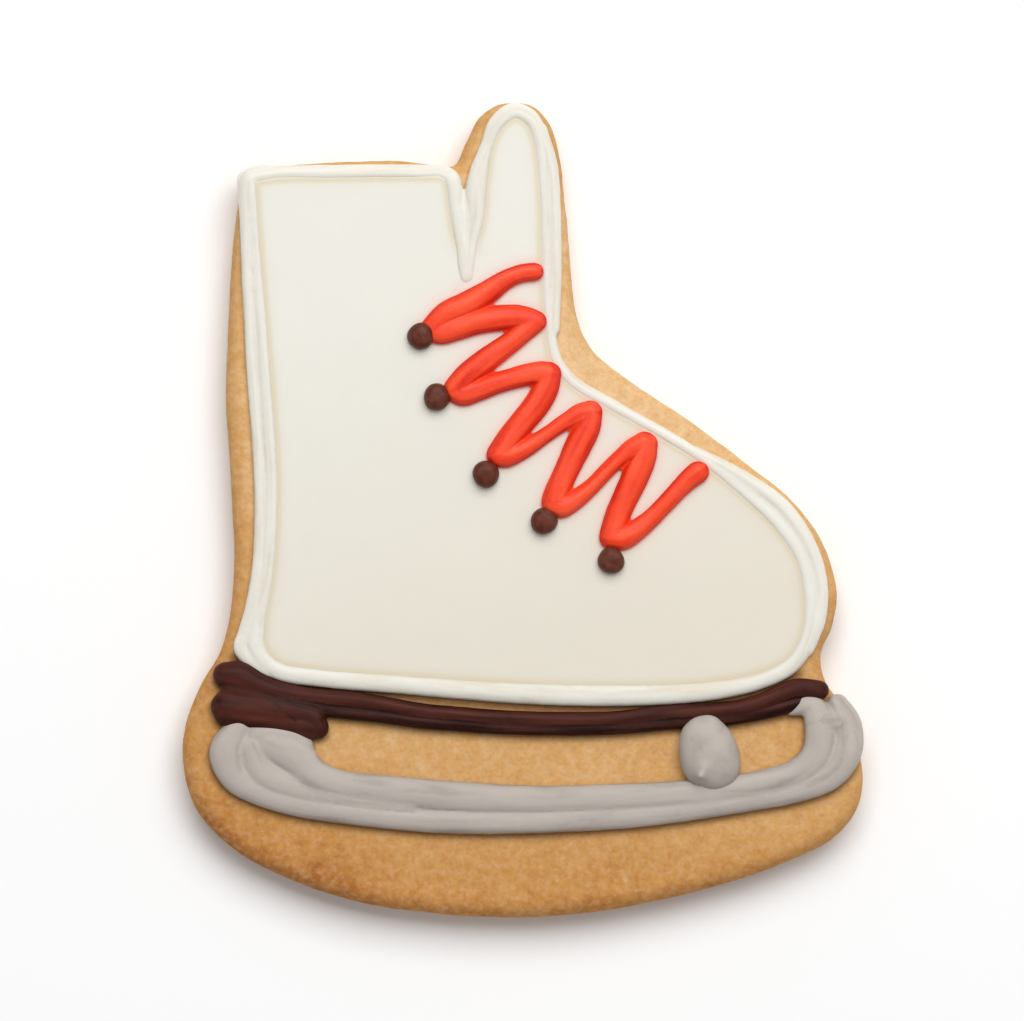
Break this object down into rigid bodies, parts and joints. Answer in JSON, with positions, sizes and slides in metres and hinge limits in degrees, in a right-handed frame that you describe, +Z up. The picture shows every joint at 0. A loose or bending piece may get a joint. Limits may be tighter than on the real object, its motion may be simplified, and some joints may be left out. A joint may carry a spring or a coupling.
{
  "type": "iced biscuit",
  "caption": "Flat baked biscuit cut as an ice skate boot, with a flooded white panel, piped border, zigzag laces with dots, piped sole, and a piped blade with its post.",
  "frame": {"origin": "under the middle of the biscuit's outline, on the face that it lies on", "axes": "+Z up out of the iced face, +Y along the boot's leg from blade to cuff, +X towards the toe"},
  "size_m": [0.0852, 0.102, 0.0113],
  "materials": {
    "baked_dough": "golden baked short dough, matt, fine open crumb",
    "white_flood_icing": "set sugar icing, smooth, satin",
    "white_piped_icing": "set piped sugar icing, satin",
    "red_icing": "set piped sugar icing, satin",
    "brown_icing": "set piped sugar icing, satin",
    "grey_icing": "set piped sugar icing, near matt"
  },
  "bodies": {
    "root": {"biscuit": "baked_dough", "boot_flood": "white_flood_icing", "boot_border": "white_piped_icing", "laces": "red_icing", "eyelet_1": "brown_icing", "eyelet_2": "brown_icing", "eyelet_3": "brown_icing", "eyelet_4": "brown_icing", "eyelet_5": "brown_icing", "sole": "brown_icing", "blade": "grey_icing", "blade_post": "grey_icing"}
  },
  "joints": []
}
